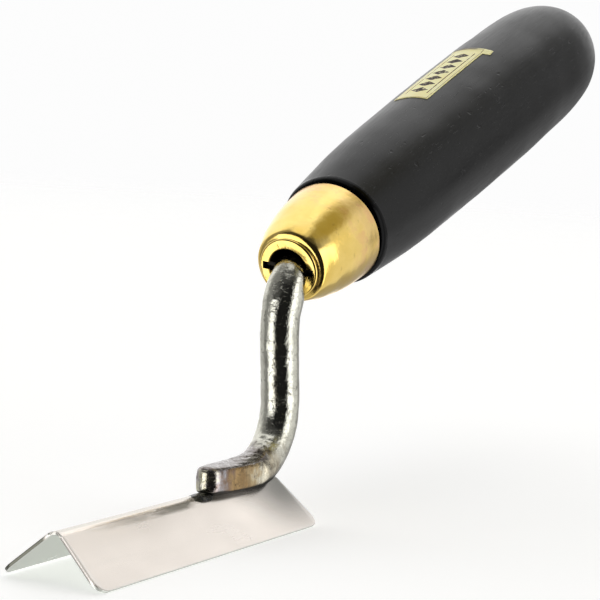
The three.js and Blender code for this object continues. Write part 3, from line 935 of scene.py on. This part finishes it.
def weld_metal():
    """Sooty weld bead, blue and brown where the heat coloured it."""
    nodes, material = new_material("scaled_weld_metal")
    lumps = nodes.noise(nodes.place_of((1.2, 1.2, 1.2)), detail=5, roughness=0.65)
    patches = nodes.noise(nodes.place_of((0.5, 0.5, 0.5)), detail=2)
    base = nodes.ramp(patches, [(0.3, (0.010, 0.011, 0.009)), (0.5, (0.03, 0.028, 0.016)),
                                (0.62, (0.015, 0.018, 0.022)), (0.8, (0.16, 0.15, 0.12))])
    nodes.set(Base_Color=base, Metallic=0.9, Roughness=nodes.range(lumps, 0.3, 0.7, 0.15, 0.35),
              Normal=nodes.bump(lumps, 0.12))
    return material


def ferrule_brass():
    """Drawn brass with turning lines round it, rosier towards the rear, scratched and worn."""
    nodes, material = new_material("drawn_brass")
    axial = nodes.split(nodes.place_of(turn=ALONG_AXIS))[0]
    behind = nodes.minus(axial, float(mouth @ axis_dir))
    blotches = nodes.noise(nodes.place_of((0.16, 0.16, 0.16), ALONG_AXIS), detail=3)
    rings = nodes.noise(nodes.place_of((5.0, 0.12, 0.12), ALONG_AXIS), detail=4, roughness=0.7)
    brass = nodes.blend(nodes.range(blotches, 0.35, 0.65), (0.87, 0.61, 0.15), (0.96, 0.71, 0.23))
    rose = nodes.times(nodes.fade(behind, 9.0, FERRULE_LENGTH),
                       nodes.range(blotches, 0.35, 0.65, 0.3, 1.0))
    brass = nodes.blend(nodes.times(rose, 0.7), brass, (0.94, 0.65, 0.30))
    worn = nodes.noise(nodes.place_of((0.3, 0.22, 0.3), ALONG_AXIS), detail=4, roughness=0.6)
    rosy = nodes.times(nodes.fade(worn, 0.49, 0.60), nodes.fade(behind, 9.0, 17.0))
    brass = nodes.blend(nodes.times(rosy, 0.7), brass, (0.90, 0.55, 0.25))
    scratches = nodes.fade(nodes.noise(nodes.place_of((0.9, 0.45, 0.45), ALONG_AXIS), detail=4),
                           0.66, 0.71)
    brass = nodes.blend(nodes.times(scratches, 0.22), brass, (0.40, 0.25, 0.07))
    roughness = nodes.plus(nodes.range(rings, 0.3, 0.7, 0.15, 0.23),
                           nodes.range(behind, 3.0, FERRULE_LENGTH, -0.06, 0.06))
    shape = nodes.bump(blotches, 0.20, below=nodes.bump(rings, 0.006))
    nodes.set(Base_Color=brass, Metallic=1.0, Roughness=roughness,
              Normal=nodes.bump(scratches, -0.01, below=shape))
    return material


def handle_wood():
    """Black lacquer over turned wood: faint grain, small dents, glossier at the shoulder, where
    painted shade makes it blacker.
    """
    nodes, material = new_material("black_lacquered_wood")
    axial = nodes.split(nodes.place_of(turn=ALONG_AXIS))[0]
    behind = nodes.minus(axial, float(mouth @ axis_dir) + FERRULE_LENGTH)
    grain = nodes.noise(nodes.place_of((0.10, 1.6, 1.6), ALONG_AXIS), detail=5, roughness=0.6)
    pores = nodes.fade(nodes.noise(nodes.place_of((0.25, 4.0, 4.0), ALONG_AXIS), detail=2),
                       0.68, 0.74)
    clouds = nodes.noise(nodes.place_of((0.05, 0.1, 0.1), ALONG_AXIS), detail=3)
    dents = nodes.fade(nodes.noise(nodes.place_of((0.35, 0.5, 0.5), ALONG_AXIS), detail=1),
                       0.72, 0.80)
    shoulder = nodes.fade(behind, SHOULDER_LENGTH + 0.45, SHOULDER_LENGTH + 0.05)
    black = nodes.blend(nodes.range(grain, 0.35, 0.65), (0.0045, 0.0045, 0.0045),
                        (0.008, 0.008, 0.0078))
    # Painted shade: the shoulder is blacker and less specular, standing in for the dark it
    # reflects.
    black = nodes.blend(shoulder, black, (0.0006, 0.0006, 0.0007))
    roughness = nodes.plus(nodes.range(grain, 0.35, 0.65, 0.30, 0.36),
                           nodes.range(clouds, 0.3, 0.7, -0.04, 0.06))
    roughness = nodes.minus(roughness, nodes.times(shoulder, 0.24))
    surface = nodes.bump(grain, 0.03, below=nodes.bump(pores, -0.03))
    nodes.set(Base_Color=black, Roughness=roughness,
              Specular_IOR_Level=nodes.range(shoulder, 0, 1, 0.25, 0.08),
              Normal=nodes.bump(dents, -0.05, below=surface))
    return material


def label_foil():
    """Pale gold foil: a thin border and a plain row of lozenges between two thin lines, with a
    painted shadow by the lifted end and a faint painted glow.
    """
    nodes, material = new_material("printed_gold_foil")
    source = nodes.tree.nodes.new("ShaderNodeUVMap")
    source.uv_map = "strip"
    u, v, _ = nodes.split(source.outputs[0])
    inside_u = nodes.math("MINIMUM", u, nodes.minus(1.0, u))
    inside_v = nodes.math("MINIMUM", v, nodes.minus(1.0, v))
    inset = nodes.math("MINIMUM", nodes.times(inside_u, LABEL_LENGTH),
                       nodes.times(inside_v, LABEL_WIDTH))
    border = nodes.window(inset, 0.35, 0.6, 0.1)
    row_start, row_end = 0.09, 0.91
    row = nodes.range(u, row_start, row_end, 0.0, LOZENGES)
    local = nodes.math("ABSOLUTE", nodes.minus(nodes.math("FRACT", row), 0.5))
    height = nodes.math("ABSOLUTE", nodes.minus(v, 0.5))
    lozenge = nodes.plus(nodes.times(local, 2.3), nodes.times(height, 3.6))
    ornament = nodes.fade(lozenge, 0.98, 0.90)
    lines = nodes.window(height, 0.305, 0.335, 0.01)
    in_row = nodes.window(u, row_start, row_end, 0.002)
    ink = nodes.times(nodes.math("MAXIMUM", ornament, lines), in_row)
    ink = nodes.math("MAXIMUM", ink, nodes.times(border, 0.6))
    wear = nodes.noise(nodes.place_of((1.2, 1.2, 1.2)), detail=4)
    ink = nodes.times(ink, nodes.range(wear, 0.3, 0.45))
    tone = nodes.noise(nodes.place_of((0.2, 0.2, 0.2)), detail=2)
    foil = nodes.blend(nodes.range(tone, 0.3, 0.7), (1.0, 0.88, 0.36), (1.0, 0.96, 0.52))
    # Painted shadow of the lifted end, across the foil's last millimetre.
    painted_lift_shadow = nodes.times(nodes.fade(u, 0.965, 0.99), nodes.fade(v, 0.1, 0.35))
    foil = nodes.blend(nodes.times(painted_lift_shadow, 0.85), foil, (0.05, 0.03, 0.02))
    base = nodes.blend(ink, foil, (0.030, 0.014, 0.008))
    # Painted light: the foil glows faintly in its own colour.
    nodes.set(Base_Color=base, Emission_Color=base, Emission_Strength=0.15,
              Specular_IOR_Level=nodes.range(ink, 0, 1, 0.5, 0.05),
              Roughness=nodes.range(wear, 0.3, 0.7, 0.32, 0.45), Normal=nodes.bump(wear, 0.02))
    return material


# ---- The pieces, on their body and for their node -------------------------------------------

def dress(piece, node, slot, *materials):
    """Gives a finished piece its materials and its body, and hides the node it replaces. The slot
    argument is not used.
    """
    for material in materials:
        piece.data.materials.append(material)
    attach(piece, BODY)
    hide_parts(node)


rod, lugs = make_shank()
forged_steel = shank_steel()
scaled_metal = weld_metal()
dress(make_blade(), "blade", "blade_steel", blade_steel())
dress(rod, "shank", "shank_steel", forged_steel)
dress(lugs, "shank", "shank_steel", scale_and_painted_shade())
dress(make_weld("toe_weld_bead", *TOE_WELD), "toe_weld", "weld_metal", scaled_metal)
dress(make_weld("heel_weld_bead", *HEEL_WELD), "heel_weld", "weld_metal", scaled_metal)
dress(make_ferrule(), "ferrule", "ferrule_brass", ferrule_brass(), scale_and_painted_shade())
dress(make_handle(), "handle", "handle_wood", handle_wood())
dress(make_label(), "handle_label", "label_foil", label_foil())


# ---- Floor, light and camera ----------------------------------------------------------------

CAMERA_AT = (-290.2, -195.0, 70.75)
CAMERA_AZIMUTH = math.radians(27.23)  # of the viewing direction, from +X towards +Y
CAMERA_PITCH = math.radians(-4.66)
CAMERA_ROLL = math.radians(3.23)
LENS = 120.0
SENSOR = 36.0
BACKDROP = (0.98, 0.98, 0.98)

# Bright and dark patches of the studio, each laid over the ones before it: azimuths from the
# camera towards its right and elevations, in degrees, then the width of the soft edge and level.
STUDIO = [
    ((-69, 51), (8, 64), 8, 0.07),  # dark wall above the camera
    ((-34, 51), (-70, 40), 7, 0.015),  # the camera's own dark corner
    ((-69, -34), (-60, 8), 6, 2.0),  # softboxes on both sides of the camera
    ((53, 84), (-60, 26), 7, 2.0),
    ((130, 200), (-60, 5), 12, 0.42),  # behind the tool, near the floor
    ((119, 142), (-4, 48), 8, 0.08),  # dark screen behind the tool
    ((-200, 200), (70, 100), 12, 1.1),  # ceiling
    ((-230, -116), (8, 78), 16, 1.2),  # bright walls behind the tool, left and right
    ((138, 240), (8, 78), 14, 1.38),
    ((-230, -150), (-18, 30), 12, 1.25),
    ((168, 240), (-18, 30), 12, 1.4),
]
GAP_AT = (86.0, 59.0)  # azimuth and elevation of the dim gap that darkens the ferrule's top
GAP_OUTER = math.radians(24)
GAP_INNER = math.radians(9)
GAP_COLOUR = (0.38, 0.34, 0.16)
FLOOR_FADE = (700.0, 3000.0)  # distances at which the floor starts and ends fading, in mm


def make_floor():
    """A pale floor that fades into the backdrop, left out of the metal's reflections."""
    bpy.ops.mesh.primitive_plane_add(size=12.0, location=(0, 0, 0))
    floor = bpy.context.object
    floor.name = "studio_floor"
    floor.visible_glossy = False
    nodes, material = new_material("pale_floor")
    nodes.set(Base_Color=(0.9, 0.9, 0.9), Roughness=1.0, Specular_IOR_Level=0.0,
              Emission_Color=(1.0, 1.0, 1.0), Emission_Strength=0.42)
    x, y, _ = nodes.split(nodes.place_of())
    distance = nodes.math("SQRT", nodes.plus(nodes.times(x, x), nodes.times(y, y)))
    clear = nodes.tree.nodes.new("ShaderNodeBsdfTransparent")
    mixed = nodes.tree.nodes.new("ShaderNodeMixShader")
    nodes.link(nodes.fade(distance, *FLOOR_FADE), mixed.inputs[0])
    nodes.link(nodes.shader.outputs[0], mixed.inputs[1])
    nodes.link(clear.outputs[0], mixed.inputs[2])
    nodes.link(mixed.outputs[0], nodes.output.inputs["Surface"])
    floor.data.materials.append(material)


def make_studio():
    """A soft studio round the tool, dark behind the camera and bright on both sides of it."""
    world = bpy.data.worlds.new("studio")
    bpy.context.scene.world = world
    world.use_nodes = True
    nodes = Nodes(world.node_tree, "ShaderNodeOutputWorld", "ShaderNodeBackground")
    source = nodes.tree.nodes.new("ShaderNodeTexCoord").outputs["Generated"]
    away = (-math.cos(CAMERA_AZIMUTH), -math.sin(CAMERA_AZIMUTH), 0.0)
    right = (math.sin(CAMERA_AZIMUTH), -math.cos(CAMERA_AZIMUTH), 0.0)

    def direction(azimuth_deg, elevation_deg):
        around, high = math.radians(azimuth_deg), math.radians(elevation_deg)
        flat = [math.cos(around) * a + math.sin(around) * b for a, b in zip(away, right)]
        return (flat[0] * math.cos(high), flat[1] * math.cos(high), math.sin(high))

    turn = nodes.math("ARCTAN2", nodes.dot(source, right), nodes.dot(source, away))
    azimuth = nodes.math("DEGREES", turn)
    elevation = nodes.math("DEGREES", nodes.math("ARCSINE", nodes.dot(source, (0, 0, 1))))
    light = nodes.range(nodes.fade(azimuth, -112.0, -96.0), 0, 1, 0.62, 0.28)
    light = nodes.plus(light, nodes.range(nodes.fade(azimuth, 60.0, 84.0), 0, 1, 0.0, 0.57))

    def softbox(total, azimuths, elevations, soft, level):
        patch = nodes.times(nodes.window(azimuth, *azimuths, soft),
                            nodes.window(elevation, *elevations, soft * 1.5))
        return nodes.plus(nodes.times(total, nodes.minus(1.0, patch)), nodes.times(patch, level))

    for panel in STUDIO:
        light = softbox(light, *panel)
    near_gap = nodes.fade(nodes.dot(source, direction(*GAP_AT)), math.cos(GAP_OUTER),
                          math.cos(GAP_INNER))
    light = nodes.blend(near_gap, light, GAP_COLOUR)
    seen = nodes.tree.nodes.new("ShaderNodeLightPath").outputs["Is Camera Ray"]
    nodes.set(Color=nodes.blend(seen, light, BACKDROP))


def make_camera():
    data = bpy.data.cameras.new("camera")
    data.lens = LENS
    data.sensor_width = SENSOR
    data.clip_start = 0.01
    camera = bpy.data.objects.new("camera", data)
    bpy.context.scene.collection.objects.link(camera)
    flat = math.cos(CAMERA_PITCH)
    forward = Vector((flat * math.cos(CAMERA_AZIMUTH), flat * math.sin(CAMERA_AZIMUTH),
                      math.sin(CAMERA_PITCH)))
    level = Vector((math.sin(CAMERA_AZIMUTH), -math.cos(CAMERA_AZIMUTH), 0))
    upright = level.cross(forward)
    right = math.cos(CAMERA_ROLL) * level + math.sin(CAMERA_ROLL) * upright
    up = right.cross(forward)
    camera.matrix_world = Matrix.Translation(Vector(place(CAMERA_AT))) @ Matrix(
        (right, up, -forward)).transposed().to_4x4()
    bpy.context.scene.camera = camera


make_floor()
make_studio()
make_camera()
bpy.context.scene.view_settings.view_transform = "Standard"
